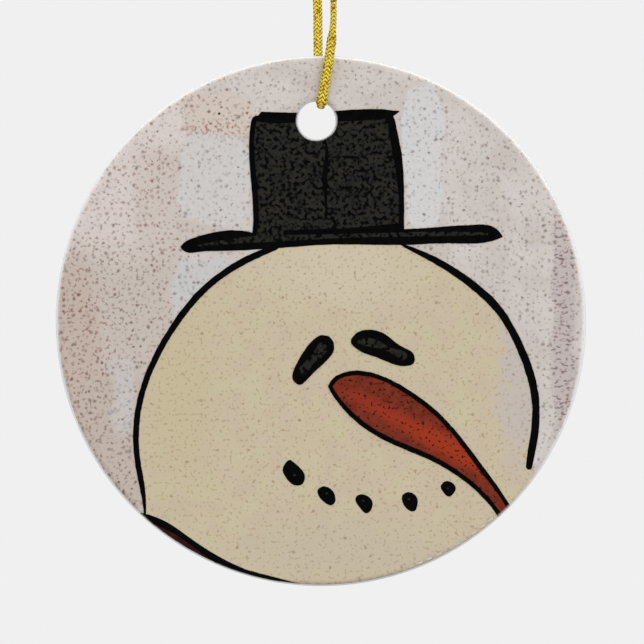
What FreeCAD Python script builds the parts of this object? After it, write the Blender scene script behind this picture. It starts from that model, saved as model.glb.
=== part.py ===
import FreeCAD, Part
import math
import os

# A round, flat ceramic hanging ornament. A white glazed disc has one hole near its top, a colour print of a
# snowman's head on its front face, and a braided cord that goes through the hole and is knotted into a loop.
#
# Frame, in millimetres: the origin is the hang point, where the cord's two strands meet under the knot. +Z is
# up, the printed face looks along -Y, and +X is to the right of someone who looks at the print.
#
# The print is a stack of thin coats of ink. Its outlines are drawn as (x, z) points from the disc's centre.

# Disc
DISC_DIAMETER = 73.0
DISC_THICKNESS = 4.0
RIM_ROUNDING = 1.0
HOLE_DIAMETER = 5.4
HOLE_ROUNDING = 0.9
HOLE_X = -0.6
HOLE_Z = 27.6

# Print: each coat of ink lies on the one below and wraps round the rounded edges of the rim and the hole
COAT = 0.05
COATS = 4
RIM_WRAP_DEGREES = 40.0
HOLE_WRAP_DEGREES = -75.0

# Cord
CORD_DIAMETER = 1.25
CORD_CLEARANCE = 0.08
LOOP_DROP = 46.0
KNOT_RADIUS = 3.0
KNOT_END_RADIUS = 1.6
KNOT_HEIGHT = 6.4
STRAND_GAP = 0.07

# Worked out from the above
DISC_RADIUS = DISC_DIAMETER / 2
HALF_THICKNESS = DISC_THICKNESS / 2
HOLE_RADIUS = HOLE_DIAMETER / 2
CORD_RADIUS = CORD_DIAMETER / 2
# The cord bears on the top of the hole straight above the disc's centre, so the disc hangs level.
CORD_FROM_HOLE_CENTRE = HOLE_RADIUS - CORD_RADIUS - CORD_CLEARANCE
PIVOT_ABOVE_CENTRE = HOLE_Z + math.sqrt(CORD_FROM_HOLE_CENTRE**2 - HOLE_X**2)
PIVOT_Z = -LOOP_DROP
DISC_Z = PIVOT_Z - PIVOT_ABOVE_CENTRE
FRONT_STRAND_Y = -(HALF_THICKNESS + COATS * COAT + CORD_CLEARANCE + CORD_RADIUS)
BACK_STRAND_Y = HALF_THICKNESS + CORD_CLEARANCE + CORD_RADIUS
KNOT_STRAND_X = CORD_RADIUS + STRAND_GAP / 2


# Helpers for the disc and its coats


def turned(profile, axis_x, axis_z):
    """A solid turned from a closed list of edges in the plane z = 0, about a Y line at (axis_x, axis_z)."""
    face = Part.Face(Part.Wire(profile))
    solid = face.revolve(FreeCAD.Vector(0, 0, 0), FreeCAD.Vector(0, 1, 0), 360)
    solid.translate(FreeCAD.Vector(axis_x, 0, axis_z))
    return solid


def line(x1, y1, x2, y2):
    """A straight edge in the plane z = 0."""
    return Part.LineSegment(FreeCAD.Vector(x1, y1, 0), FreeCAD.Vector(x2, y2, 0)).toShape()


def arc(centre_x, centre_y, radius, start, end):
    """A round edge in the plane z = 0, from the start angle to the end angle, in degrees."""
    angles = [math.radians(a) for a in (start, (start + end) / 2, end)]
    points = [
        FreeCAD.Vector(centre_x + radius * math.cos(a), centre_y + radius * math.sin(a), 0) for a in angles
    ]
    return Part.Arc(*points).toShape()


def hole_cylinder(radius):
    """A plug along Y through the hanging hole, longer than the disc is thick."""
    foot = FreeCAD.Vector(HOLE_X, -DISC_THICKNESS, DISC_Z + HOLE_Z)
    return Part.makeCylinder(radius, 2 * DISC_THICKNESS, foot, FreeCAD.Vector(0, 1, 0))


def ceramic_disc():
    """The fired disc, with its rim and both edges of its hole rounded."""
    centre = FreeCAD.Vector(0, -HALF_THICKNESS, DISC_Z)
    disc = Part.makeCylinder(DISC_RADIUS, DISC_THICKNESS, centre, FreeCAD.Vector(0, 1, 0))
    disc = disc.cut(hole_cylinder(HOLE_RADIUS))
    rim_edges = [e for e in disc.Edges if is_circle(e, DISC_RADIUS)]
    disc = disc.makeFillet(RIM_ROUNDING, rim_edges)
    hole_edges = [e for e in disc.Edges if is_circle(e, HOLE_RADIUS)]
    return disc.makeFillet(HOLE_ROUNDING, hole_edges)


def is_circle(edge, radius):
    """True for a full round edge of that radius."""
    return hasattr(edge.Curve, "Radius") and abs(edge.Curve.Radius - radius) < 1e-6


def coat_profile(corner_x, rounding, level, inner_x, wrap):
    """The closed edges of one coat: flat from inner_x to the corner, then round the corner by the wrap angle,
    which is positive where the coat wraps outwards round the rim, and negative inwards into the hole."""
    corner_y = -HALF_THICKNESS + rounding
    low = rounding + level * COAT
    high = low + COAT
    end = wrap - 90
    tip = math.radians(end)
    return [
        line(inner_x, corner_y - high, corner_x, corner_y - high),
        arc(corner_x, corner_y, high, -90, end),
        line(
            corner_x + high * math.cos(tip),
            corner_y + high * math.sin(tip),
            corner_x + low * math.cos(tip),
            corner_y + low * math.sin(tip),
        ),
        arc(corner_x, corner_y, low, end, -90),
        line(corner_x, corner_y - low, inner_x, corner_y - low),
        line(inner_x, corner_y - low, inner_x, corner_y - high),
    ]


def coat(level):
    """One coat over the whole front face. Level 0 lies on the glaze, and each level lies on the one below."""
    lip_radius = HOLE_RADIUS + HOLE_ROUNDING
    lip_width = 1.0
    rim_corner = DISC_RADIUS - RIM_ROUNDING
    sheet = turned(coat_profile(rim_corner, RIM_ROUNDING, level, 0, RIM_WRAP_DEGREES), 0, DISC_Z)
    sheet = sheet.cut(hole_cylinder(lip_radius))
    lip_outside = lip_radius + lip_width
    lip_profile = coat_profile(lip_radius, HOLE_ROUNDING, level, lip_outside, HOLE_WRAP_DEGREES)
    lip = turned(lip_profile, HOLE_X, DISC_Z + HOLE_Z)
    return sheet.fuse(lip).removeSplitter()


# Helpers for the drawn outlines


def at(point):
    """A drawn (x, z) point, as a place well in front of the disc."""
    return FreeCAD.Vector(point[0], -DISC_THICKNESS, DISC_Z + point[1])


def edge_through(points):
    """A straight edge through two points, or a smooth one through more."""
    places = [at(p) for p in points]
    if len(places) == 2:
        return Part.LineSegment(*places).toShape()
    curve = Part.BSplineCurve()
    curve.interpolate(places)
    return curve.toShape()


def area(*stretches):
    """The area inside a closed outline. Each stretch is smooth, and starts where the last one ended."""
    return Part.Face(Part.Wire([edge_through(points) for points in stretches]))


def smooth_area(points):
    """The area inside one smooth closed curve through the points."""
    curve = Part.BSplineCurve()
    curve.interpolate(Points=[at(p) for p in points], PeriodicFlag=True)
    return Part.Face(Part.Wire([curve.toShape()]))


def sideways(points, index):
    """The unit vector to the left of a drawn line at one of its points."""
    before = points[max(index - 1, 0)]
    after = points[min(index + 1, len(points) - 1)]
    along_x, along_z = after[0] - before[0], after[1] - before[1]
    length = math.hypot(along_x, along_z)
    return -along_z / length, along_x / length


def shifted(points, distances):
    """The points of a line, each moved to the line's left by its own distance."""
    moved = []
    for index, (x, z) in enumerate(points):
        left_x, left_z = sideways(points, index)
        moved.append((x + left_x * distances[index], z + left_z * distances[index]))
    return moved


def halves(widths, side):
    """Half of each width, to the left of a line for side 1 and to its right for side -1."""
    return [side * w / 2 for w in widths]


def brush_line(points, widths):
    """The area of a drawn line of varying width through the points, with round ends."""
    left = shifted(points, halves(widths, 1))
    right = shifted(points, halves(widths, -1))
    end = rounded_tip(points, -1, widths[-1])
    start = rounded_tip(points, 0, widths[0])
    edges = [
        edge_through(left),
        Part.Arc(at(left[-1]), at(end), at(right[-1])).toShape(),
        edge_through(right[::-1]),
        Part.Arc(at(right[0]), at(start), at(left[0])).toShape(),
    ]
    return Part.Face(Part.Wire(edges))


def rounded_tip(points, index, width):
    """The outermost point of a line's round end. index is 0 for its start and -1 for its end."""
    x, z = points[index]
    left_x, left_z = sideways(points, index % len(points))
    forward = -1 if index == 0 else 1
    return x + forward * left_z * width / 2, z - forward * left_x * width / 2


def printed(level, *areas):
    """The drawn areas as ink: each is cut from one whole coat, so it ends at the rim and at the hole."""
    sheet = coat(level)
    inks = [sheet.common(a.extrude(FreeCAD.Vector(0, DISC_THICKNESS, 0))) for a in areas]
    whole = inks[0]
    for ink in inks[1:]:
        whole = whole.fuse(ink)
    solids = whole.removeSplitter().Solids
    return solids[0] if len(solids) == 1 else Part.makeCompound(solids)


# The drawing, in (x, z) points from the disc's centre. The four coats, from the glaze up, are: 0 the wash, 1 the
# head, hat and scarf, 2 their black lines with the eyes, nose and mouth, and 3 the black lines on eyes and nose.

HEAD_LEFT = [
    (-6.2, 10.1), (-9.2, 8.9), (-13.0, 6.8), (-17.0, 3.4), (-20.2, -0.7), (-22.6, -4.8), (-24.3, -8.9),
    (-25.3, -13.5), (-25.3, -18.5), (-24.6, -22.7), (-24.2, -26.4),
]
HEAD_LEFT_WIDTHS = [0.6, 0.85, 0.85, 0.85, 0.8, 0.75, 0.75, 0.75, 0.7, 0.65, 0.25]
HEAD_RIGHT = [
    (11.1, 10.5), (13.6, 9.4), (17.5, 7.3), (21.4, 4.5), (24.2, 1.8), (26.1, -1.0), (28.0, -5.1), (29.2, -9.0),
    (29.55, -12.8), (29.1, -17.2), (28.6, -20.0),
]
HEAD_RIGHT_WIDTHS = [0.2, 0.65, 0.9, 1.0, 1.0, 0.95, 1.0, 1.0, 0.95, 1.0, 0.85]
SCARF_EDGE = [
    (-25.6, -26.3), (-23.9, -26.6), (-21.3, -27.6), (-17.9, -29.9), (-13.3, -32.8), (-8.5, -34.9), (-1.8, -36.6),
]
SCARF_LINE_EDGE = [(-22.8, -28.0), (-20.6, -29.0), (-16.9, -31.5), (-13.0, -34.2)]
CROWN_LEFT = [(-9.4, 12.1), (-9.3, 15.4), (-9.65, 20.0), (-9.6, 27.2)]
CROWN_CORNER = [(-9.6, 27.2), (-9.25, 28.0), (-8.6, 28.25)]
CROWN_TOP = [(-8.2, 28.75), (-3.2, 28.65), (2.3, 28.9), (5.9, 29.1), (10.8, 28.8)]
CROWN_UNDER_TIP = (9.9, 28.2)
CROWN_RIGHT = [(10.1, 27.6), (10.7, 24.9), (11.2, 21.7), (11.4, 17.0), (11.4, 12.6)]
CROWN_INSIDE_LEFT = [(-8.9, 12.0), (-8.6, 15.2), (-8.95, 20.0), (-8.9, 27.5)]
CROWN_INSIDE_TOP = [(-8.9, 27.5), (-6.0, 27.2), (-3.0, 27.3), (3.5, 27.5), (9.0, 27.9)]
CROWN_INSIDE_RIGHT = [(9.2, 27.6), (10.0, 22.5), (10.6, 18.4), (10.7, 13.4)]
CROWN_INSIDE_BOTTOM = [(10.7, 13.4), (7.8, 13.1), (4.6, 12.8), (-0.1, 12.6), (-5.1, 12.4)]
SEAM = [(0.55, 24.8), (0.8, 22.5), (0.55, 20.1), (0.6, 17.8), (0.7, 14.1)]
SEAM_WIDTHS = [0.3, 0.45, 0.6, 0.4, 0.3]
SEAM_FOOT = [(1.5, 14.2), (1.8, 13.7), (2.1, 13.1)]
SEAM_FOOT_WIDTHS = [0.35, 0.3, 0.25]
BRIM_TOP_LEFT = [(-19.3, 10.2), (-18.4, 11.0), (-16.3, 11.75), (-13.0, 12.4), (-9.4, 12.1)]
BRIM_TOP_RIGHT = [(11.4, 12.6), (15.0, 12.8), (21.0, 13.2), (23.4, 13.0), (24.95, 11.6)]
BRIM_BOTTOM = [
    (24.95, 11.6), (23.0, 10.9), (18.0, 10.7), (11.4, 10.5), (1.6, 10.55), (-7.3, 9.95), (-13.0, 9.7), (-17.2, 9.5),
    (-18.8, 9.6), (-19.3, 10.2),
]
STRIP_TOP = [(-17.0, 10.5), (-13.3, 11.2), (-8.9, 11.75), (-5.1, 11.9), (6.0, 12.1), (18.0, 12.35), (23.0, 12.2)]
STRIP_BOTTOM = [(23.0, 11.8), (18.0, 11.65), (6.0, 11.45), (0.0, 11.2), (-9.4, 10.7), (-13.3, 10.5), (-17.0, 10.2)]
STRIP_OPENING = [(-8.9, 11.2), (-8.9, 12.6), (-5.1, 12.6), (-5.1, 11.3)]
LEFT_EYE = [
    (0.45, -2.0), (1.5, -2.6), (1.8, -3.6), (0.5, -5.7), (-1.9, -8.0), (-2.9, -8.75), (-3.8, -8.1), (-3.4, -6.1),
    (-2.5, -4.4), (-1.3, -2.9),
]
LEFT_EYE_INSIDE = [
    (0.3, -3.0), (0.95, -3.7), (0.0, -5.1), (-1.0, -5.9), (-2.5, -7.4), (-3.0, -6.9), (-2.2, -5.6), (-0.6, -3.5),
]
RIGHT_EYE = [
    (4.2, -2.5), (4.9, -1.7), (6.6, -1.25), (9.2, -2.1), (11.0, -3.5), (12.7, -4.6), (12.7, -5.8), (11.9, -6.15),
    (8.0, -5.1), (5.4, -4.1),
]
RIGHT_EYE_INSIDE = [
    (5.1, -2.7), (6.2, -2.3), (8.0, -2.7), (9.9, -3.7), (11.9, -4.8), (11.6, -5.35), (9.8, -4.6), (7.3, -3.7),
]
NOSE_TOP = [
    (0.95, -9.0), (2.1, -7.6), (4.3, -6.9), (8.9, -7.8), (12.2, -9.6), (15.3, -11.9), (18.4, -15.0), (22.5, -20.4),
    (24.3, -22.8), (27.2, -28.0),
]
NOSE_BOTTOM = [
    (0.95, -9.0), (3.0, -12.0), (8.6, -16.3), (14.8, -19.0), (20.5, -22.6), (25.2, -28.4),
]
NOSE_INSIDE_TOP = [
    (1.55, -9.05), (2.5, -8.0), (4.4, -7.45), (8.7, -8.3), (11.9, -10.1), (14.9, -12.3), (18.0, -15.4), (22.0, -20.7),
    (23.8, -23.0), (26.6, -28.2),
]
NOSE_INSIDE_BOTTOM = [
    (1.55, -9.05), (3.4, -11.6), (8.9, -15.75), (15.1, -18.45), (20.9, -22.2), (25.7, -28.1),
]
MOUTH_DOTS = [
    [(-4.1, -19.2), (-3.2, -19.9), (-2.3, -21.2), (-2.6, -22.4), (-3.7, -22.5), (-4.8, -21.5), (-5.2, -20.2)],
    [(-0.2, -23.0), (1.0, -22.9), (1.7, -23.6), (1.9, -24.9), (1.4, -25.3), (0.5, -24.9), (-0.35, -23.9)],
    [(5.0, -24.0), (6.0, -23.9), (7.0, -24.8), (6.8, -26.0), (6.3, -26.4), (5.4, -25.7), (4.8, -24.6)],
    [(11.4, -23.8), (12.3, -23.6), (13.2, -24.4), (13.2, -25.4), (12.8, -26.1), (12.0, -25.9), (11.2, -24.7)],
    [(16.8, -22.3), (17.9, -22.2), (18.5, -23.1), (18.2, -23.7), (17.6, -24.1), (16.8, -23.5), (16.5, -22.8)],
]
# Places past the rim, for outlines that run off the disc
BELOW = -40.0
BESIDE = 40.0
BELOW_SCARF = (-26.0, BELOW)


def head_area():
    """The head, out to the outer edges of its lines, up to the hat, and down past the rim."""
    left = shifted(HEAD_LEFT, halves(HEAD_LEFT_WIDTHS, -1))
    right = shifted(HEAD_RIGHT, halves(HEAD_RIGHT_WIDTHS, 1))
    over_top = [right[0], left[0]]
    past_rim = [left[-1], (-BESIDE, BELOW), (BESIDE, BELOW), right[-1]]
    straight = [list(pair) for pair in zip(past_rim, past_rim[1:])]
    return area(left, *straight, right[::-1], over_top)


def scarf_area():
    """The scarf, from its upper edge down past the rim."""
    return area(SCARF_EDGE, [SCARF_EDGE[-1], BELOW_SCARF], [BELOW_SCARF, SCARF_EDGE[0]])


def crown_area():
    """The hat's crown, whose top edge steps up from its left corner and ends in a point on the right."""
    return area(
        CROWN_LEFT,
        CROWN_CORNER,
        [CROWN_CORNER[-1], CROWN_TOP[0]],
        CROWN_TOP,
        [CROWN_TOP[-1], CROWN_UNDER_TIP],
        [CROWN_UNDER_TIP, CROWN_RIGHT[0]],
        CROWN_RIGHT,
        [CROWN_RIGHT[-1], CROWN_LEFT[0]],
    )


def brim_area():
    """The hat's thin brim, seen nearly edge on."""
    across = [BRIM_TOP_LEFT[-1], BRIM_TOP_RIGHT[0]]
    return area(BRIM_TOP_LEFT, across, BRIM_TOP_RIGHT, BRIM_BOTTOM)


def outline_area(points):
    """The area inside a closed outline of straight stretches."""
    return area(*[[a, b] for a, b in zip(points, points[1:] + points[:1])])


def crown_inside():
    """The part of the crown that its black lines leave grey."""
    corner = [CROWN_INSIDE_TOP[-1], CROWN_INSIDE_RIGHT[0]]
    foot = [CROWN_INSIDE_BOTTOM[-1], (-5.1, 12.0)]
    return area(
        CROWN_INSIDE_LEFT,
        CROWN_INSIDE_TOP,
        corner,
        CROWN_INSIDE_RIGHT,
        CROWN_INSIDE_BOTTOM,
        foot,
        [foot[-1], CROWN_INSIDE_LEFT[0]],
    )


def background_print():
    """The pale wash behind the figure, over the whole front face."""
    return coat(0)


def head_print():
    """The cream head."""
    return printed(1, head_area().cut(brim_area()).cut(scarf_area()))


def scarf_print():
    """The sliver of a dark red scarf between the chin and the rim."""
    return printed(1, scarf_area())


def hat_crown_print():
    """The dark grey ink of the crown."""
    return printed(1, crown_area())


def hat_brim_print():
    """The dark grey ink of the brim."""
    return printed(1, brim_area())


def head_line_left_print():
    """The black outline of the head's left side, from the brim down to the scarf."""
    line_area = brush_line(HEAD_LEFT, HEAD_LEFT_WIDTHS)
    return printed(2, line_area.cut(brim_area()).cut(scarf_area()))


def head_line_right_print():
    """The black outline of the head's right side, which starts thin and ends bluntly before the rim."""
    return printed(2, brush_line(HEAD_RIGHT, HEAD_RIGHT_WIDTHS).cut(brim_area()))


def scarf_line_print():
    """The black line along the scarf's upper edge, which widens until it covers all of the scarf."""
    red = area(SCARF_LINE_EDGE, [SCARF_LINE_EDGE[-1], BELOW_SCARF], [BELOW_SCARF, SCARF_LINE_EDGE[0]])
    return printed(2, scarf_area().cut(red))


def hat_crown_lines_print():
    """The black lines round the crown, and the seam down its middle."""
    seam = brush_line(SEAM, SEAM_WIDTHS)
    seam_foot = brush_line(SEAM_FOOT, SEAM_FOOT_WIDTHS)
    return printed(2, crown_area().cut(crown_inside()), seam, seam_foot)


def hat_brim_lines_print():
    """The black lines over and under the brim, which leave a grey strip that opens into the crown."""
    right_end = [STRIP_TOP[-1], STRIP_BOTTOM[0]]
    left_end = [STRIP_BOTTOM[-1], STRIP_TOP[0]]
    strip = area(STRIP_TOP, right_end, STRIP_BOTTOM, left_end)
    return printed(2, brim_area().cut(strip.fuse(outline_area(STRIP_OPENING))))


def eyes_print():
    """The dark grey ink of both eyes."""
    return printed(2, smooth_area(LEFT_EYE), smooth_area(RIGHT_EYE))


def eye_lines_print():
    """The thick black lines round both eyes."""
    left = smooth_area(LEFT_EYE).cut(smooth_area(LEFT_EYE_INSIDE))
    right = smooth_area(RIGHT_EYE).cut(smooth_area(RIGHT_EYE_INSIDE))
    return printed(3, left, right)


def nose_area(top, bottom):
    """A long carrot shape between two lines that start at one point and run off the rim."""
    return area(top, [top[-1], bottom[-1]], bottom[::-1])


def nose_print():
    """The red carrot nose."""
    return printed(2, nose_area(NOSE_TOP, NOSE_BOTTOM))


def nose_lines_print():
    """The black line round the nose's blunt end and along both of its sides."""
    inside = nose_area(NOSE_INSIDE_TOP, NOSE_INSIDE_BOTTOM)
    return printed(3, nose_area(NOSE_TOP, NOSE_BOTTOM).cut(inside))


def mouth_print():
    """The row of coal dots of the smile."""
    return printed(2, *[smooth_area(dot) for dot in MOUTH_DOTS])


# Helpers for the cord


def bend_radius(before, corner, after, fixed):
    """The largest arc that the two runs beside a corner allow, or the fixed radius."""
    into, out = corner - before, after - corner
    half_turn = into.getAngle(out) / 2
    largest = 0.45 * min(into.Length, out.Length) / math.tan(half_turn)
    return min(fixed, largest) if fixed else largest, half_turn


def cord_path(name, points, tight=()):
    """A path of straight runs joined by tangent arcs. tight gives the corners whose radius is an edge's size.
    It also returns the path's length."""
    places = [FreeCAD.Vector(*p) for p in points]
    edges = []
    radii = []
    start = places[0]
    for index in range(1, len(places) - 1):
        before, corner, after = places[index - 1 : index + 2]
        fixed = HOLE_ROUNDING + CORD_RADIUS + CORD_CLEARANCE if index in tight else None
        radius, half_turn = bend_radius(before, corner, after, fixed)
        setback = radius * math.tan(half_turn)
        into = (corner - before).normalize()
        out = (after - corner).normalize()
        entry, leave = corner - into * setback, corner + out * setback
        inward = (out - into).normalize()
        middle = corner + inward * (radius / math.cos(half_turn) - radius)
        edges.append(Part.LineSegment(start, entry).toShape())
        edges.append(Part.Arc(entry, middle, leave).toShape())
        radii.append(round(radius, 1))
        start = leave
    edges.append(Part.LineSegment(start, places[-1]).toShape())
    path = Part.Wire(edges)
    print(name, "arc radii", radii, "length", round(path.Length, 1))
    return path


def cord_tube(name, points, tight=()):
    """A round cord along a path, whose volume is compared with its section times its length."""
    path = cord_path(name, points, tight)
    start = FreeCAD.Vector(*points[0])
    heading = FreeCAD.Vector(*points[1]) - start
    section = Part.Wire([Part.makeCircle(CORD_RADIUS, start, heading)])
    tube = path.makePipeShell([section], True, False)
    expected = math.pi * CORD_RADIUS**2 * path.Length
    print(name, "volume over section times length", round(tube.Volume / expected, 4), "valid", tube.isValid())
    return tube


# The cord's two strands, from the knot down the front, through the hole, and up the back to the knot. The
# runs beside the hole are short, because the cord is pulled tight round the hole's rounded edges there.
TURN_IN = 0.9
STRANDS = [
    (KNOT_STRAND_X, 0, 0),
    (KNOT_STRAND_X, 0, -1.8),
    (1.60, -0.05, -4.6),
    (2.15, -0.45, -9.6),
    (2.10, -1.60, -17.0),
    (1.80, -2.60, -25.0),
    (1.72, FRONT_STRAND_Y - 0.05, -31.6),
    (1.72, FRONT_STRAND_Y, -35.0),
    (1.05, FRONT_STRAND_Y, -40.0),
    (0.14, FRONT_STRAND_Y, PIVOT_Z + TURN_IN),
    (0.0, FRONT_STRAND_Y + TURN_IN, PIVOT_Z),
    (0.0, BACK_STRAND_Y - TURN_IN, PIVOT_Z),
    (-0.08, BACK_STRAND_Y, PIVOT_Z + TURN_IN),
    (-0.40, BACK_STRAND_Y, -40.0),
    (-0.42, BACK_STRAND_Y, -35.0),
    (-0.45, BACK_STRAND_Y + 0.05, -31.6),
    (-0.90, 2.40, -25.0),
    (-1.75, 1.50, -17.0),
    (-2.15, 0.45, -9.6),
    (-1.60, 0.05, -4.6),
    (-KNOT_STRAND_X, 0, -1.8),
    (-KNOT_STRAND_X, 0, 0),
]
ROUND_THE_HOLE = (9, 10, 11, 12)
# The two cut tails, from the top of the knot, which lean apart
TAIL = [(KNOT_STRAND_X, 0, KNOT_HEIGHT), (KNOT_STRAND_X, 0, 8.2), (1.3, 0.35, 10.3), (2.4, 0.5, 12.4)]
OTHER_TAIL = [(-KNOT_STRAND_X, 0, KNOT_HEIGHT), (-KNOT_STRAND_X, 0, 8.0), (-1.1, -0.2, 9.8), (-1.3, -0.7, 11.6)]


def cord_strands():
    """The loop's free length, from the knot through the hole and back."""
    return cord_tube("cord_strands", STRANDS, ROUND_THE_HOLE)


def cord_knot():
    """The overhand knot that both strands are tied in, as a plain barrel with flat ends."""
    middle = KNOT_HEIGHT / 2
    side = Part.Arc(
        FreeCAD.Vector(KNOT_END_RADIUS, 0, 0),
        FreeCAD.Vector(KNOT_RADIUS, 0, middle),
        FreeCAD.Vector(KNOT_END_RADIUS, 0, KNOT_HEIGHT),
    ).toShape()
    corners = [
        FreeCAD.Vector(KNOT_END_RADIUS, 0, KNOT_HEIGHT),
        FreeCAD.Vector(0, 0, KNOT_HEIGHT),
        FreeCAD.Vector(0, 0, 0),
        FreeCAD.Vector(KNOT_END_RADIUS, 0, 0),
    ]
    straight = [Part.LineSegment(a, b).toShape() for a, b in zip(corners, corners[1:])]
    face = Part.Face(Part.Wire([side] + straight))
    return face.revolve(FreeCAD.Vector(0, 0, 0), FreeCAD.Vector(0, 0, 1), 360)


def cord_tails():
    """The two short cut ends above the knot."""
    return Part.makeCompound([cord_tube("right tail", TAIL), cord_tube("left tail", OTHER_TAIL)])


SUBPARTS = {
    "ceramic_disc": ceramic_disc,
    "background_print": background_print,
    "head_print": head_print,
    "scarf_print": scarf_print,
    "hat_crown_print": hat_crown_print,
    "hat_brim_print": hat_brim_print,
    "eyes_print": eyes_print,
    "nose_print": nose_print,
    "mouth_print": mouth_print,
    "head_line_left_print": head_line_left_print,
    "head_line_right_print": head_line_right_print,
    "hat_crown_lines_print": hat_crown_lines_print,
    "hat_brim_lines_print": hat_brim_lines_print,
    "eye_lines_print": eye_lines_print,
    "nose_lines_print": nose_lines_print,
    "scarf_line_print": scarf_line_print,
    "cord_strands": cord_strands,
    "cord_knot": cord_knot,
    "cord_tails": cord_tails,
}

os.makedirs("parts", exist_ok=True)
for node, make in SUBPARTS.items():
    shape = make()
    print(node, "solids", len(shape.Solids), "volume", round(shape.Volume, 3), "valid", shape.isValid())
    shape.exportStep(os.path.join("parts", node + ".step"))
print("pivot", round(PIVOT_Z, 3), "disc centre", round(DISC_Z, 3))
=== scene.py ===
import bpy
import bmesh
import math
import numpy as np
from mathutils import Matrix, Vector, noise


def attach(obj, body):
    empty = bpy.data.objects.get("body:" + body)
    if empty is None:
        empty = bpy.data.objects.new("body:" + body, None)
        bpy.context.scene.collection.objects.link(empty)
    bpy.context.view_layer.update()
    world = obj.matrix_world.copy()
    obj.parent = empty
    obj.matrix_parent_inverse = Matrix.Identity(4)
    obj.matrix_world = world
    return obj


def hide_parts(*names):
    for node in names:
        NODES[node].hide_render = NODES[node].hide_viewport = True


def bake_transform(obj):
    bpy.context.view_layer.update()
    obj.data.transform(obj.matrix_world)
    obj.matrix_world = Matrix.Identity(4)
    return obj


# A round ceramic ornament with a printed snowman's head, on a loop of braided gold cord. Everything is in
# metres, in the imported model's frame: the origin is the hang point under the cord's knot, +Z is up, and the
# print looks along -Y. Sizes named in millimetres are turned into metres where they are used.

MM = 0.001

# Without a seed, noise_vector takes its offsets from the clock, and the inks' outlines differ in each run.
noise.seed_set(1)

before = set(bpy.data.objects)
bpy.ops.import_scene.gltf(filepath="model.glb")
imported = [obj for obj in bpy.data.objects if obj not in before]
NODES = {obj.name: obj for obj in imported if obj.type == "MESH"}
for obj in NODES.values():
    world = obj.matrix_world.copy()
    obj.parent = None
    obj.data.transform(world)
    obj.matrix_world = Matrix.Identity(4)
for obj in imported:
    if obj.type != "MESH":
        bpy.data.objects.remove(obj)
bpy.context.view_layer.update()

# The disc's middle, its printed face and its hole, in millimetres. HOLE_X and HOLE_Z are from its middle.
DISC_Z = -75.503
PRINT_Y = -2.0
HOLE_X = -0.6
HOLE_Z = 27.6
HOLE_RADIUS = 2.7


# Camera, lights and background


def aim(obj, place, target):
    """Put an object at a place, with its -Z axis towards the target."""
    obj.location = place
    obj.rotation_mode = "QUATERNION"
    obj.rotation_quaternion = (Vector(target) - Vector(place)).to_track_quat("-Z", "Y")


# The camera sees VIEW_WIDTH millimetres of the print's plane. The middle of what it sees is VIEW_OFFSET to
# the right of the disc's middle, and as far below it.
VIEW_WIDTH = 88.55
VIEW_OFFSET = 0.14


def make_camera():
    """A long lens straight in front of the print, almost level with the disc's middle."""
    lens, sensor = 300, 36
    distance = VIEW_WIDTH * MM * lens / sensor
    target = Vector((VIEW_OFFSET * MM, PRINT_Y * MM, (DISC_Z - VIEW_OFFSET) * MM))
    data = bpy.data.cameras.new("camera")
    data.lens = lens
    data.sensor_width = sensor
    camera = bpy.data.objects.new("camera", data)
    bpy.context.scene.collection.objects.link(camera)
    aim(camera, target - Vector((0, distance, 0)), target)
    bpy.context.scene.camera = camera


def area_light(name, place, size, share, seen_in_gloss=True):
    """A square soft light, aimed at the disc. With a share of 1, it alone would show a colour as it is."""
    target = Vector((0, 0, DISC_Z * MM))
    data = bpy.data.lights.new(name, "AREA")
    data.size = size
    data.energy = share * math.pi ** 2 * (Vector(place) - target).length_squared
    light = bpy.data.objects.new(name, data)
    light.visible_camera = False
    light.visible_glossy = seen_in_gloss
    bpy.context.scene.collection.objects.link(light)
    aim(light, place, target)


def make_world(seen, light, mirrored):
    """A pale studio all round. It looks bright, and is dimmer as a light and in gloss, so that the colours
    and the black ink keep their depth."""
    world = bpy.data.worlds.new("studio")
    bpy.context.scene.world = world
    world.use_nodes = True
    tree = world.node_tree
    back = tree.nodes["Background"]
    path = tree.nodes.new("ShaderNodeLightPath")
    glossy = tree.nodes.new("ShaderNodeMix")
    glossy.inputs["A"].default_value = light
    glossy.inputs["B"].default_value = mirrored
    camera = tree.nodes.new("ShaderNodeMix")
    camera.inputs["B"].default_value = seen
    tree.links.new(path.outputs["Is Glossy Ray"], glossy.inputs["Factor"])
    tree.links.new(glossy.outputs["Result"], camera.inputs["A"])
    tree.links.new(path.outputs["Is Camera Ray"], camera.inputs["Factor"])
    tree.links.new(camera.outputs["Result"], back.inputs["Strength"])
    back.inputs["Color"].default_value = (1, 1, 1, 1)


def make_lights():
    """A soft front light, four weaker ones in a ring round it, four that light the disc's rim from its sides
    and a little from behind, and three single ones."""
    area_light("front_light", (0.03, -1.0, -0.02), 0.5, 0.37, seen_in_gloss=False)
    ring_reach = 0.57
    for number in range(4):
        across, up = math.cos(math.radians(90 * number)), math.sin(math.radians(90 * number))
        ring = (ring_reach * (across - up), -0.75, ring_reach * (across + up))
        area_light("ring_light_" + str(number + 1), ring, 0.6, 0.05, seen_in_gloss=False)
        area_light("side_light_" + str(number + 1), (across, 0.3, up), 0.5, 0.27, seen_in_gloss=False)
    area_light("key_light", (0.55, -0.65, 0.45), 0.45, 0.14)
    area_light("back_light", (-0.4, 0.9, 0.4), 0.7, 0.06)
    area_light("top_light", (0, 0, 4.0), 3.0, 0.25)


make_camera()
make_world(seen=0.871, light=0.392, mirrored=0.45)
make_lights()
view = bpy.context.scene.view_settings
view.view_transform = "Standard"
view.look = "None"


# Helpers for node materials


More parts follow.
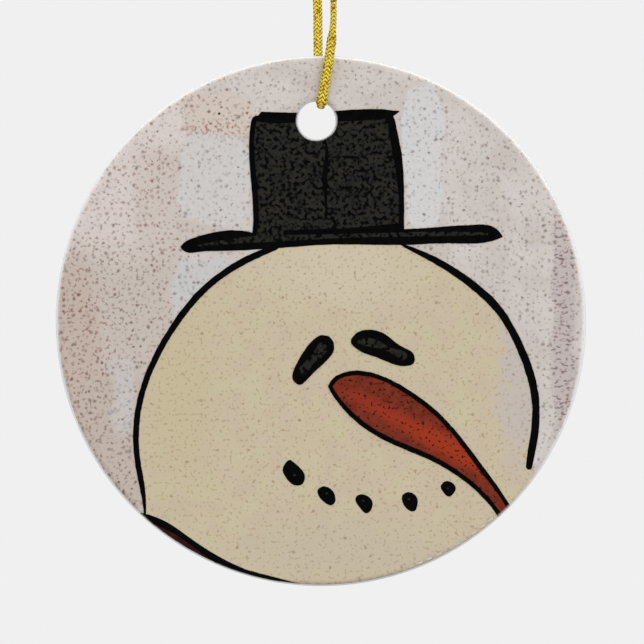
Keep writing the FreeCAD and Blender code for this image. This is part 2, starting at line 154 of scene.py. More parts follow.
class Paint:
    """A material's nodes, built by short calls. Most of them return the socket that holds their result."""

    def __init__(self, name):
        self.material = bpy.data.materials.new(name)
        self.material.use_nodes = True
        self.tree = self.material.node_tree
        self.shader = self.tree.nodes["Principled BSDF"]

    def node(self, kind, settings=(), **inputs):
        """A new node. Each input is a constant, or a socket to link from."""
        node = self.tree.nodes.new("ShaderNode" + kind)
        for key, value in dict(settings).items():
            setattr(node, key, value)
        for key, value in inputs.items():
            self.put(node.inputs[key.replace("_", " ")], value)
        return node

    def put(self, socket, value):
        """Set an input socket, or link it."""
        if isinstance(value, bpy.types.NodeSocket):
            self.tree.links.new(value, socket)
        elif hasattr(value, "__len__") and len(value) == 3 and socket.type == "RGBA":
            socket.default_value = (*value, 1)
        else:
            socket.default_value = value

    def drawn(self):
        """(x, z) from the disc's centre, in millimetres."""
        place = self.node("TexCoord").outputs["Object"]
        split = self.node("SeparateXYZ", Vector=place)
        x = self.maths("MULTIPLY", split.outputs["X"], 1000)
        z = self.maths("MULTIPLY_ADD", split.outputs["Z"], 1000, -DISC_Z)
        return self.node("CombineXYZ", X=x, Y=z).outputs["Vector"]

    def maths(self, operation, *values):
        """A number worked out from others."""
        node = self.node("Math", {"operation": operation})
        for socket, value in zip(node.inputs, values):
            self.put(socket, value)
        return node.outputs["Value"]

    def vector(self, operation, *values):
        """A vector worked out from others, or the one number that the operation gives."""
        node = self.node("VectorMath", {"operation": operation})
        for socket, value in zip(node.inputs, values):
            self.put(socket, value)
        single = operation in ("LENGTH", "DISTANCE", "DOT_PRODUCT")
        return node.outputs["Value" if single else "Vector"]

    def scaled(self, vector, factor):
        """A vector times a number."""
        node = self.node("VectorMath", {"operation": "SCALE"}, Scale=factor)
        self.put(node.inputs[0], vector)
        return node.outputs["Vector"]

    def noise(self, place, size, detail=2.0, roughness=0.5):
        """Soft noise from 0 to 1, whose lumps are about that size in the place's own unit."""
        node = self.node("TexNoise", Vector=place, Scale=1 / size, Detail=detail, Roughness=roughness)
        return node.outputs["Fac"]

    def jittered(self, place, size, reach):
        """A place moved about by noise, so that what is drawn with it has uneven edges."""
        node = self.node("TexNoise", Vector=place, Scale=1 / size, Detail=2.0)
        moved = self.vector("SUBTRACT", node.outputs["Color"], (0.5, 0.5, 0.5))
        return self.vector("ADD", place, self.scaled(moved, 2 * reach))

    def between(self, value, low, high, start=0.0, end=1.0):
        """The value stretched smoothly from low..high to start..end, and held at both ends."""
        node = self.node("MapRange", {"interpolation_type": "SMOOTHSTEP"}, Value=value)
        node.inputs["From Min"].default_value = low
        node.inputs["From Max"].default_value = high
        node.inputs["To Min"].default_value = start
        node.inputs["To Max"].default_value = end
        return node.outputs["Result"]

    def mix(self, factor, a, b):
        """Colour a where the factor is 0, and b where it is 1. The node has sockets of the same names for its
        other kinds, so the colour ones go by number."""
        node = self.node("Mix", {"data_type": "RGBA"})
        self.put(node.inputs[0], factor)
        self.put(node.inputs[6], a)
        self.put(node.inputs[7], b)
        return node.outputs[2]

    def patch(self, place, centre, size, softness=0.5, square=False):
        """1 inside a soft oval, or a rectangle with round corners, falling to 0 outside. size is half of its
        width and half of its height."""
        away = self.vector("SUBTRACT", place, (*centre, 0))
        away = self.vector("DIVIDE", away, (*size, 1))
        if square:
            away = self.vector("MULTIPLY", away, away)
        return self.between(self.vector("LENGTH", away), 1 - softness, 1 + softness, 1.0, 0.0)

    def flecks(self, place, size, cover, softness=0.03):
        """Small uneven marks, as a sponge leaves. cover, a number or a socket, is about 0.3 for few of them
        and 0.4 for many."""
        node = self.node("TexNoise", Vector=place, Scale=1 / size, Detail=1.0, Roughness=0.4)
        below = self.maths("SUBTRACT", cover, node.outputs["Fac"])
        return self.between(below, -softness, softness)

    def speckles(self, place, spacing, share, size, softness=0.5):
        """Small dots of uneven size and strength, one in some of the cells of an uneven grid. share, a number
        or a socket, is how many of the cells have one."""
        cells = self.node(
            "TexVoronoi", {"voronoi_dimensions": "2D"}, Vector=place, Scale=1 / spacing, Randomness=1.0
        )
        chance = self.node("SeparateColor", Color=cells.outputs["Color"])
        present = self.maths("LESS_THAN", chance.outputs["Red"], share)
        widest = size / spacing
        radius = self.maths("MULTIPLY_ADD", chance.outputs["Green"], widest * 0.5, widest * 0.25)
        ratio = self.maths("DIVIDE", cells.outputs["Distance"], radius)
        dot = self.between(ratio, 1 - softness, 1 + softness, 1.0, 0.0)
        strength = self.maths("MULTIPLY_ADD", chance.outputs["Blue"], 0.75, 0.3)
        return self.maths("MULTIPLY", dot, self.maths("MULTIPLY", present, strength))

    def finish(self, colour, roughness, bump=None, bump_depth=0.0, specular=0.5):
        """Join the colour, the roughness and a bump height to the shader."""
        self.put(self.shader.inputs["Base Color"], colour)
        self.put(self.shader.inputs["Roughness"], roughness)
        self.shader.inputs["Specular IOR Level"].default_value = specular
        if bump is not None:
            node = self.node("Bump", Strength=1.0, Distance=bump_depth, Height=bump)
            self.put(self.shader.inputs["Normal"], node.outputs["Normal"])
        return self.material


def grey(level):
    """The linear colour of an 8-bit grey or (r, g, b) as it looks on a screen."""
    levels = level if hasattr(level, "__len__") else (level,) * 3
    return tuple((c / 255 / 12.92) if c <= 10 else ((c / 255 + 0.055) / 1.055) ** 2.4 for c in levels)


WHITE = grey(240)
# The white that the print fades to is brighter than the glaze's: painted light, against the shade where the
# rim and the hole's lip turn away from the front.
RIM_WHITE_WITH_PAINTED_LIGHT = grey(251)

# The print fades to white over the last 0.7 mm. It sits a little low and to the left on the disc.
PRINT_OFFSET = (0.05, 0.12, 0)
PRINT_OVAL = (36.18, 36.42, 1)
RIM_FADE = (0.989, 1.009)
LIP_FADE = (HOLE_RADIUS - 0.1, HOLE_RADIUS + 0.25)


def faded(paint, place, colour):
    """An ink's colour, faded along the rim and round the hole to a white that is brighter than the glaze's:
    painted light against the shade where these edges turn away from the front.
    """
    uneven = paint.jittered(place, 1.5, 0.12)
    off_centre = paint.vector("ADD", uneven, PRINT_OFFSET)
    oval = paint.vector("LENGTH", paint.vector("DIVIDE", off_centre, PRINT_OVAL))
    rim = paint.between(oval, *RIM_FADE)
    from_hole = paint.vector("DISTANCE", uneven, (HOLE_X, HOLE_Z, 0))
    lip = paint.between(from_hole, *LIP_FADE, 1.0, 0.0)
    return paint.mix(paint.maths("MAXIMUM", rim, lip), colour, RIM_WHITE_WITH_PAINTED_LIGHT)


# How deep the unevenness of each surface looks, in metres.
INK_BUMP = 0.000006
GLAZE_BUMP = 0.00003
YARN_BUMP = 0.00003
CORE_BUMP = 0.00002


def ink(paint, place, colour, roughness=0.42, specular=0.04):
    """Finish a printed colour: faded at the edges, with a faint unevenness in its gloss and its surface."""
    uneven = paint.noise(place, 0.8, 3.0)
    rough = paint.between(uneven, 0.2, 0.8, roughness - 0.05, roughness + 0.06)
    colour = faded(paint, place, colour)
    return paint.finish(colour, rough, bump=uneven, bump_depth=INK_BUMP, specular=specular)


# The disc and its print


def glaze_material():
    """White fired glaze, with a faint warmth, a soft waviness and a few pin holes."""
    paint = Paint("white_glaze")
    place = paint.scaled(paint.node("TexCoord").outputs["Object"], 1000)
    cloud = paint.noise(place, 14.0)
    white = paint.mix(paint.between(cloud, 0.3, 0.7), WHITE, grey((242, 240, 236)))
    pins = paint.speckles(place, 5.0, 0.12, 0.25)
    white = paint.mix(paint.maths("MULTIPLY", pins, 0.25), white, grey((176, 170, 160)))
    wave = paint.noise(place, 3.0, 1.0)
    rough = paint.between(cloud, 0.3, 0.7, 0.16, 0.24)
    return paint.finish(white, rough, bump=wave, bump_depth=GLAZE_BUMP, specular=0.4)


BROWN = (122, 92, 80)
RUST = (124, 78, 66)
PALE_GREY = (162, 159, 158)
VIOLET = (128, 104, 106)
MAUVE = (146, 122, 114)

# The wash's dabbed patches: each one's middle, its half size, its colour, its flecks' colour, its softness.
PATCHES = [
    ((-30.0, 4.0), (10.5, 30.0), (203, 192, 184), BROWN, 0.25),
    ((-30.0, 18.5), (6.5, 9.5), (219, 209, 204), MAUVE, 0.8),
    ((-21.5, 27.0), (4.0, 3.5), (221, 211, 206), MAUVE, 0.8),
    ((-35.5, -9.0), (5.0, 17.0), (199, 182, 171), RUST, 0.45),
    ((-22.6, 15.3), (3.2, 7.0), (209, 198, 192), (148, 108, 92), 0.8),
    ((-14.4, 28.2), (5.0, 3.0), (213, 201, 190), RUST, 0.12),
    ((-14.6, 19.3), (4.9, 5.9), (210, 207, 205), PALE_GREY, 0.08),
    ((-15.8, 4.0), (4.6, 4.6), (205, 202, 203), PALE_GREY, 0.2),
    ((14.0, 22.6), (2.7, 10.0), (214, 213, 213), PALE_GREY, 0.1),
    ((33.4, -2.0), (1.6, 17.0), (196, 185, 183), VIOLET, 0.7),
    ((-28.5, -17.0), (5.0, 10.0), (197, 184, 173), BROWN, 0.3),
    ((-27.2, -10.5), (1.6, 5.0), (203, 198, 196), PALE_GREY, 0.9),
]


def wash_ground(paint, place, edge):
    """The wash's own colour everywhere, and the colour of the flecks on it."""
    cloud = paint.between(paint.noise(place, 7.0, 3.0), 0.35, 0.65)
    ground = paint.mix(cloud, grey((214, 207, 203)), grey((205, 196, 190)))
    fleck = grey((152, 138, 133))
    for centre, size, tint, mark, softness in PATCHES:
        inside = paint.patch(edge, centre, size, softness, square=True)
        ground = paint.mix(inside, ground, grey(tint))
        fleck = paint.mix(inside, fleck, grey(mark))
    mottle = paint.between(paint.noise(place, 0.6, 3.0, 0.6), 0.3, 0.7)
    ground = paint.mix(paint.maths("MULTIPLY", mottle, 0.14), ground, grey((170, 156, 150)))
    return ground, fleck


def wash_flecks(paint, place, edge, ground, fleck):
    """The wash with its flecks: round dabs and fine sponge marks, fewer of both towards the right."""
    across = paint.node("SeparateXYZ", Vector=edge).outputs["X"]
    darker = paint.between(paint.noise(paint.vector("ADD", place, (5, 60, 0)), 1.1), 0.5, 0.6)
    fleck = paint.mix(darker, fleck, grey((112, 88, 74)))
    uneven = paint.jittered(place, 0.42, 0.27)
    dabs = paint.speckles(uneven, 0.78, paint.between(across, -34.0, -8.0, 0.85, 0.55), 0.31, 0.7)
    colour = paint.mix(paint.maths("MULTIPLY", dabs, 0.85), ground, fleck)
    marks = paint.flecks(place, 0.5, paint.between(across, -36.0, -16.0, 0.375, 0.335), 0.05)
    return paint.mix(paint.maths("MULTIPLY", marks, 0.5), colour, fleck)


def wash_material():
    """The pale pinkish wash behind the figure: dabbed patches of tan, pink and bluish white, with flecks in
    a darker tone of each. Violet streaks are on its right, and a rusty seam and a black dot near its top."""
    paint = Paint("wash_ink")
    place = paint.drawn()
    edge = paint.jittered(paint.jittered(place, 5.0, 1.2), 0.7, 0.35)
    ground, fleck = wash_ground(paint, place, edge)
    colour = wash_flecks(paint, place, edge, ground, fleck)
    streaks = paint.flecks(paint.vector("MULTIPLY", place, (0.5, 1, 1)), 0.42, 0.39)
    band = paint.patch(edge, (33.3, -2.0), (1.5, 17.0), 0.6, square=True)
    streaks = paint.maths("MULTIPLY", streaks, band)
    colour = paint.mix(paint.maths("MULTIPLY", streaks, 0.8), colour, grey(VIOLET))
    seam = paint.flecks(paint.vector("ADD", place, (40, 9, 0)), 0.5, 0.43, 0.05)
    seam = paint.maths("MULTIPLY", seam, paint.patch(edge, (-14.6, 26.2), (4.8, 1.3), 0.5))
    colour = paint.mix(paint.maths("MULTIPLY", seam, 0.6), colour, grey((156, 98, 76)))
    dot = paint.patch(place, (-14.0, 28.5), (0.17, 0.17), 0.3)
    colour = paint.mix(dot, colour, grey(12))
    return ink(paint, place, colour)


# The thin end of the scarf's line has a straight upper edge, which meets x = 0 at LINE_HEIGHT.
LINE_SLOPE = 0.264
LINE_HEIGHT = -36.9


def cream_material():
    """The cream of the head, with faint green and pink clouds and small flecks, greyer to the right. At the
    rim below the chin it has the thin end of the scarf's black line."""
    paint = Paint("cream_ink")
    place = paint.drawn()
    loose = paint.jittered(place, 5.0, 2.0)
    cloud = paint.between(paint.noise(place, 3.5, 3.0), 0.35, 0.65)
    colour = paint.mix(cloud, grey((201, 186, 162)), grey((203, 192, 162)))
    pink = paint.between(paint.noise(paint.vector("ADD", place, (30, 5, 0)), 4.5, 2.0), 0.5, 0.68)
    colour = paint.mix(pink, colour, grey((203, 188, 165)))
    colour = paint.mix(paint.patch(loose, (-19.5, -9.0), (5.0, 14.0)), colour, grey((201, 188, 156)))
    colour = paint.mix(paint.patch(loose, (27.5, -6.0), (3.2, 13.0)), colour, grey((196, 187, 180)))
    colour = paint.mix(paint.patch(loose, (4.0, -31.5), (14.0, 4.0)), colour, grey((199, 187, 165)))
    colour = paint.mix(paint.patch(loose, (3.0, 7.0), (11.0, 5.0)), colour, grey((207, 196, 171)))
    marks = paint.maths("MULTIPLY", paint.flecks(place, 0.45, 0.365), 0.5)
    colour = paint.mix(marks, colour, grey((168, 146, 112)))
    few = paint.maths("MULTIPLY", paint.flecks(paint.vector("ADD", place, (9, 70, 0)), 0.7, 0.29), 0.6)
    colour = paint.mix(few, colour, grey((158, 126, 98)))
    split = paint.node("SeparateXYZ", Vector=paint.jittered(place, 0.8, 0.05))
    height = paint.maths("MULTIPLY_ADD", split.outputs["X"], LINE_SLOPE, split.outputs["Y"])
    below = paint.between(height, LINE_HEIGHT - 0.04, LINE_HEIGHT + 0.04, 1.0, 0.0)
    return ink(paint, place, paint.mix(below, colour, grey(5)))


def charcoal_material():
    """Dark grey ink with olive patches, dabbed all over with black, more on the hat than on the eyes."""
    paint = Paint("charcoal_ink")
    place = paint.drawn()
    cloud = paint.between(paint.noise(place, 2.4, 3.0), 0.35, 0.65)
    colour = paint.mix(cloud, grey((37, 38, 35)), grey((43, 42, 37)))
    height = paint.node("SeparateXYZ", Vector=place).outputs["Y"]
    cover = paint.between(height, 2.0, 6.0, 0.41, 0.435)
    colour = paint.mix(paint.flecks(place, 0.6, cover, 0.05), colour, grey(5))
    tiny = paint.speckles(paint.jittered(place, 0.4, 0.12), 0.65, 0.8, 0.42)
    colour = paint.mix(tiny, colour, grey(5))
    return ink(paint, place, colour)


COAL_GLINTS = [(-3.64, -21.2), (0.8, -23.7), (5.8, -24.7), (12.1, -24.5), (17.45, -23.0)]


def black_material():
    """Black brush ink, with a small grey glint in each of the coal dots."""
    paint = Paint("black_ink")
    place = paint.drawn()
    colour = paint.mix(paint.between(paint.noise(place, 1.0, 2.0), 0.35, 0.65), grey(3), grey(6))
    for centre in COAL_GLINTS:
        colour = paint.mix(paint.patch(place, centre, (0.15, 0.11), 0.8), colour, grey(44))
    return ink(paint, place, colour)


NOSE_ROOT = (4.4, -10.2)
NOSE_LEAN = math.radians(28)


def red_material():
    """The nose: brown red with dark flecks, and a brighter orange red streak down its middle."""
    paint = Paint("red_ink")
    place = paint.drawn()
    cloud = paint.between(paint.noise(place, 1.2, 3.0), 0.3, 0.7)
    colour = paint.mix(cloud, grey((110, 42, 29)), grey((126, 52, 35)))
    loose = paint.jittered(place, 1.4, 0.4)
    level = paint.node(
        "VectorRotate", {"rotation_type": "Z_AXIS"}, Vector=loose, Center=(*NOSE_ROOT, 0), Angle=NOSE_LEAN
    ).outputs["Vector"]
    for along, size, tone in ((8.5, (9.0, 1.1), (152, 54, 34)), (16.5, (6.0, 1.5), (160, 56, 32))):
        streak = paint.patch(level, (NOSE_ROOT[0] + along, NOSE_ROOT[1]), size, 0.7)
        colour = paint.mix(streak, colour, grey(tone))
    colour = paint.mix(paint.flecks(place, 0.42, 0.37), colour, grey((60, 24, 18)))
    return ink(paint, place, colour)


def dark_red_material():
    """The scarf's very dark red."""
    paint = Paint("dark_red_ink")
    place = paint.drawn()
    cloud = paint.between(paint.noise(place, 0.9, 3.0), 0.3, 0.7)
    return ink(paint, place, paint.mix(cloud, grey((66, 28, 24)), grey((40, 18, 16))))


# How ink lies, in millimetres. Its outline, where a face bends down by over OUTLINE_BEND, is cut into steps
# that wander by coarse and fine noise. Past RIM_CALM from the disc's middle, and within HOLE_CALM of the
# hole, it keeps still.
RIM_CALM = 34.8
HOLE_CALM = 1.0
RIM_LIFT = 0.05
INK_SPREAD = 0.045
OUTLINE_BEND = math.radians(35)
OUTLINE_STEP = 0.2
OUTLINE_ROUNDS = 7
COARSE_SIZE = 1.1
COARSE_REACH = 0.05
FINE_SIZE = 0.35
FINE_REACH = 0.035


def ragged(place, normal, spread):
    """How far a point of an ink's surface moves, in millimetres. Its edge wanders and spreads. At the rim it
    does neither, and lies a little higher to cover the glaze."""
    x, z = place.x / MM, place.z / MM - DISC_Z
    radius = math.hypot(x, z)
    hole_gap = math.hypot(x - HOLE_X, z - HOLE_Z) - HOLE_RADIUS
    loose = min(1.0, max(0.0, RIM_CALM - radius), max(0.0, hole_gap - HOLE_CALM))
    coarse = noise.noise_vector(Vector((x, 0, z)) / COARSE_SIZE) * COARSE_REACH
    fine = noise.noise_vector(Vector((x, 7, z)) / FINE_SIZE) * FINE_REACH
    wander = (coarse + fine) * loose
    wander.y = 0
    lift = RIM_LIFT * min(1.0, max(0.0, radius - RIM_CALM))
    return wander + normal * (spread * loose + lift)


def ragged_print(node, spread):
    """A copy of a printed area that stands for it. Its outline wanders a little, and has spread by that many
    millimetres, as brush ink does."""
    source = NODES[node]
    mesh = source.data.copy()
    mesh.name = node + "_ink"
    work = bmesh.new()
    work.from_mesh(mesh)
    bmesh.ops.remove_doubles(work, verts=work.verts, dist=0.001 * MM)
    step = OUTLINE_STEP * MM
    for _ in range(OUTLINE_ROUNDS):
        long = [e for e in work.edges if e.calc_length() > step and is_outline(e)]
        if not long:
            break
        bmesh.ops.subdivide_edges(work, edges=long, cuts=1)
    bmesh.ops.triangulate(work, faces=work.faces)
    work.normal_update()
    for vertex in work.verts:
        vertex.co += ragged(vertex.co, vertex.normal, spread) * MM
    work.to_mesh(mesh)
    work.free()
    piece = bpy.data.objects.new(node + "_ink", mesh)
    bpy.context.scene.collection.objects.link(piece)
    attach(piece, "ornament")
    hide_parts(node)
    return piece


def is_outline(edge):
    """True for an edge where an ink's face turns down to its side."""
    return len(edge.link_faces) == 2 and edge.calc_face_angle(0) > OUTLINE_BEND


PRINTS = {
    "background_print": (wash_material, "wash_ink"),
    "head_print": (cream_material, "cream_ink"),
    "scarf_print": (dark_red_material, "dark_red_ink"),
    "hat_crown_print": (charcoal_material, "charcoal_ink"),
    "hat_brim_print": (charcoal_material, "charcoal_ink"),
    "eyes_print": (charcoal_material, "charcoal_ink"),
    "nose_print": (red_material, "red_ink"),
    "mouth_print": (black_material, "black_ink"),
    "head_line_left_print": (black_material, "black_ink"),
    "head_line_right_print": (black_material, "black_ink"),
    "hat_crown_lines_print": (black_material, "black_ink"),
    "hat_brim_lines_print": (black_material, "black_ink"),
    "eye_lines_print": (black_material, "black_ink"),
    "nose_lines_print": (black_material, "black_ink"),
    "scarf_line_print": (black_material, "black_ink"),
}


def dress(obj, material):
    """Give an object one material."""
    obj.data.materials.clear()
    obj.data.materials.append(material)


def make_disc():
    """The glazed disc, as the CAD has it, with glossy white glaze."""
    disc = NODES["ceramic_disc"]
    for slot in disc.material_slots:
        slot.material = glaze_material()


def make_prints():
    """Every printed area, in its ink."""
    made = {}
    for node, (make, slot) in PRINTS.items():
        if slot not in made:
            made[slot] = make()
        piece = ragged_print(node, INK_SPREAD if slot == "black_ink" else 0)
        dress(piece, made[slot])


# The cord's route and size, in millimetres. It leaves the knot, comes down in front of the disc, turns in
# through the hole at PIVOT_Z, and goes back up behind the disc to the knot.

FRONT_Y = -2.96
BACK_Y = 2.705
PIVOT_Z = -46.0
TURN_IN = 0.9
LIFT = 0.14
CORD_WIDTH = 1.5
CORD_THICKNESS = 0.95
KNOT_X = 0.66
KNOT_HEIGHT = 6.4

LOOP_ROUTE = [
    (KNOT_X, 0, 0), (KNOT_X, 0, -1.8), (1.60, -0.05, -4.6), (2.15, -0.45, -9.6), (2.10, -1.60, -17.0),
    (1.80, -2.60, -25.0), (1.72, FRONT_Y - 0.05, -31.6), (1.72, FRONT_Y, -35.0), (1.05, FRONT_Y, -40.0),
    (0.14, FRONT_Y, PIVOT_Z + TURN_IN), (0, FRONT_Y + TURN_IN, PIVOT_Z + LIFT),
    (0, BACK_Y - TURN_IN, PIVOT_Z + LIFT), (-0.08, BACK_Y, PIVOT_Z + TURN_IN),
    (-0.40, BACK_Y, -40.0), (-0.42, BACK_Y, -35.0), (-0.45, BACK_Y + 0.05, -31.6), (-0.90, 2.40, -25.0),
    (-1.75, 1.50, -17.0), (-2.15, 0.45, -9.6), (-1.60, 0.05, -4.6), (-KNOT_X, 0, -1.8), (-KNOT_X, 0, 0),
]
TAIL_ROUTE = [(KNOT_X, 0, KNOT_HEIGHT), (KNOT_X, 0, 8.2), (1.3, 0.35, 10.3), (2.4, 0.5, 12.4)]
OTHER_TAIL_ROUTE = [(-KNOT_X, 0, KNOT_HEIGHT), (-KNOT_X, 0, 8.0), (-1.1, -0.2, 9.8), (-1.3, -0.7, 11.6)]


def smooth_line(name, route):
    """The points along a route's smooth curve, in metres, read from its NURBS spline."""
    data = bpy.data.curves.new(name, "CURVE")
    data.dimensions = "3D"
    data.resolution_u = 24
    spline = data.splines.new("NURBS")
    spline.points.add(len(route) - 1)
    for point, place in zip(spline.points, route):
        point.co = (*[c * MM for c in place], 1)
    spline.order_u = 3
    spline.use_endpoint_u = True
    curve = bpy.data.objects.new(name, data)
    mesh = bpy.data.meshes.new_from_object(curve)
    points = [v.co.copy() for v in mesh.vertices]
    bpy.data.objects.remove(curve)
    bpy.data.meshes.remove(mesh)
    return points


def evenly(points, step):
    """Points a fixed step apart along a line, with its two ends kept, and each one's distance along it."""
    lengths = [0.0]
    for a, b in zip(points, points[1:]):
        lengths.append(lengths[-1] + (b - a).length)
    count = max(2, round(lengths[-1] / step))
    spaced, along, index = [], [], 0
    for number in range(count + 1):
        target = lengths[-1] * number / count
        while index < len(points) - 2 and lengths[index + 1] < target:
            index += 1
        span = lengths[index + 1] - lengths[index] or 1
        spaced.append(points[index].lerp(points[index + 1], (target - lengths[index]) / span))
        along.append(target)
    return spaced, along


def carried_frames(points, first_across):
    """A tangent and two sideways directions at each point, carried along the line without twist."""
    frames = []
    across = first_across
    for index, point in enumerate(points):
        tangent = (points[min(index + 1, len(points) - 1)] - points[max(index - 1, 0)]).normalized()
        across = (across - tangent * across.dot(tangent)).normalized()
        frames.append((tangent, across, tangent.cross(across)))
    return frames


# The braid. Each yarn goes once round it in LAY, CARRIERS yarns turn each way, and they rise and sink by
# WEAVE_DEPTH where they cross. YARN_TOP are the sides of a yarn that face out.
LAY = 4.24 * MM
CARRIERS = 8
YARN_WIDTH = 0.35 * MM
YARN_THICKNESS = 0.22 * MM
YARN_SIDES = 8
YARN_TOP = (1, 2)
YARN_SLIP = 0.12
SLIP_LENGTH = 0.9 * MM
WEAVE_DEPTH = 0.12 * MM
BRAID_STEP = 0.16 * MM
CORE_WIDTH = 0.24
CORE_THICKNESS = 0.2
CORE_SIDES = 8
# The braid's two materials: its gold, and painted shade, a dark brown on the yarns' flanks and ends and on
# the core, for the shade down in the gaps of the weave.
GOLD_SLOT, PAINTED_SHADE_SLOT = 0, 1


def cross_sections(points, first_across, shape):
    """The braid's width, its thickness and the directions of both at each point."""
    sections = []
    for place, (tangent, across, up) in zip(points, carried_frames(points, first_across)):
        width, thickness, turn = shape(place)
        wide = across * math.cos(turn) + up * math.sin(turn)
        sections.append((width, thickness, wide, tangent.cross(wide)))
    return sections


def core_rings(points, sections):
    """Flat-oval rings of points for the core that fills the gaps between the yarns."""
    angles = [2 * math.pi * k / CORE_SIDES for k in range(CORE_SIDES)]
    rings = []
    for place, (width, thickness, wide, flat) in zip(points, sections):
        half_width, half_thickness = width * CORE_WIDTH, thickness * CORE_THICKNESS
        rings.append([
            place + wide * (half_width * math.cos(a)) + flat * (half_thickness * math.sin(a)) for a in angles
        ])
    return rings


def yarn_path(points, along, sections, direction, carrier):
    """A yarn's centre line as it winds round the braid, over and under the others, and which way is out."""
    centres, normals = [], []
    for place, distance, (width, thickness, wide, flat) in zip(points, along, sections):
        half_wide = width / 2 - YARN_THICKNESS / 2 - WEAVE_DEPTH
        half_flat = thickness / 2 - YARN_THICKNESS / 2 - WEAVE_DEPTH
        turned = 2 * math.pi * distance / LAY + YARN_SLIP * noise.noise(place / SLIP_LENGTH)
        angle = direction * turned + 2 * math.pi * (carrier + 0.5) / CARRIERS
        out_wide, out_flat = math.cos(angle), math.sin(angle)
        normal = (wide * (half_flat * out_wide) + flat * (half_wide * out_flat)).normalized()
        lift = direction * math.sin(CARRIERS / 2 * angle) * WEAVE_DEPTH
        centre = place + wide * (half_wide * out_wide) + flat * (half_flat * out_flat) + normal * lift
        centres.append(centre)
        normals.append(normal)
    return centres, normals


def braid(name, line, first_across, shape):
    """A flat-oval braid of yarns that pass over and under each other, along a line. shape(place) gives its
    width, its thickness and the turn of its flat side. The yarns' tops are gold, and the rest carries painted
    shade: a dark brown for the shade down in the weave."""
    points, along = evenly(line, BRAID_STEP)
    sections = cross_sections(points, first_across, shape)
    vertices, faces = [], []
    add_tube(vertices, faces, core_rings(points, sections))
    shades = [PAINTED_SHADE_SLOT] * len(faces)
    for direction in (1, -1):
        for carrier in range(CARRIERS):
            centres, normals = yarn_path(points, along, sections, direction, carrier)
            add_tube(vertices, faces, yarn_rings(centres, normals))
            # A yarn's top sides get the gold. Its other sides and its two end faces get the painted shade.
            while len(shades) < len(faces) - 2:
                shades.extend(GOLD_SLOT if side in YARN_TOP else PAINTED_SHADE_SLOT for side in range(YARN_SIDES))
            shades.extend((PAINTED_SHADE_SLOT, PAINTED_SHADE_SLOT))
    mesh = bpy.data.meshes.new(name)
    mesh.from_pydata(vertices, [], faces)
    mesh.polygons.foreach_set("use_smooth", [True] * len(mesh.polygons))
    mesh.polygons.foreach_set("material_index", shades)
    piece = bpy.data.objects.new(name, mesh)
    bpy.context.scene.collection.objects.link(piece)
    return piece, points


def yarn_rings(centres, normals):
    """Flat-oval rings of points round a yarn's centre line."""
    angles = [2 * math.pi * k / YARN_SIDES for k in range(YARN_SIDES)]
    rings = []
    last = len(centres) - 1
    for index, (centre, normal) in enumerate(zip(centres, normals)):
        tangent = (centres[min(index + 1, last)] - centres[max(index - 1, 0)]).normalized()
        side = tangent.cross(normal).normalized()
        outward = side.cross(tangent)
        rings.append([
            centre + side * (YARN_WIDTH / 2 * math.cos(a)) + outward * (YARN_THICKNESS / 2 * math.sin(a))
            for a in angles
        ])
    return rings


def add_tube(vertices, faces, rings):
    """Add a closed tube through rings of points to a mesh's lists. Its two end faces come last."""
    first = len(vertices)
    sides = len(rings[0])
    for ring in rings:
        vertices.extend(ring)
    for row in range(len(rings) - 1):
        for k in range(sides):
            a = first + row * sides + k
            b = first + row * sides + (k + 1) % sides
            faces.append((a, b, b + sides, a + sides))
    faces.append(tuple(first + k for k in reversed(range(sides))))
    end = first + (len(rings) - 1) * sides
    faces.append(tuple(end + k for k in range(sides)))


def gold_material():
    """The bright metallic gold of the yarns' tops, with painted glints along it and a few dull spots."""
    paint = Paint("gold_yarn")
    place = paint.scaled(paint.node("TexCoord").outputs["Object"], 1000)
    glint = paint.noise(place, 0.22, 2.0, 0.6)
    # Painted highlight: where the glint noise is high, the gold turns paler yellow, for the foil's glints.
    # The same noise also sets the roughness and the bump.
    colour = paint.mix(paint.between(glint, 0.35, 0.65), grey((248, 206, 30)), grey((255, 244, 106)))
    dull = paint.between(paint.noise(place, 0.55, 2.0, 0.6), 0.36, 0.46, 1.0, 0.0)
    colour = paint.mix(dull, colour, grey((176, 126, 14)))
    rough = paint.between(glint, 0.3, 0.7, 0.26, 0.4)
    paint.shader.inputs["Metallic"].default_value = 0.25
    return paint.finish(colour, rough, bump=glint, bump_depth=YARN_BUMP, specular=0.5)


def core_and_flank_shade_material():
    """Painted shade: the dark brown of the core and of the yarns' flanks, for the shade in the weave's gaps.
    """
    paint = Paint("cord_core_painted_shade")
    place = paint.scaled(paint.node("TexCoord").outputs["Object"], 1000)
    fibre = paint.noise(place, 0.3, 3.0)
    colour = paint.mix(paint.between(fibre, 0.3, 0.7), grey((100, 72, 6)), grey((140, 106, 14)))
    return paint.finish(colour, 0.8, bump=fibre, bump_depth=CORE_BUMP, specular=0.2)


def smooth_step(value, low, high):
    """0 below low and 1 above high, with a soft change between."""
    share = min(1.0, max(0.0, (value - low) / (high - low)))
    return share * share * (3 - 2 * share)


PULLED_WIDER = 0.22
SQUEEZED = 0.2
FRONT_TURN = math.radians(85)
BACK_TURN = math.radians(24)


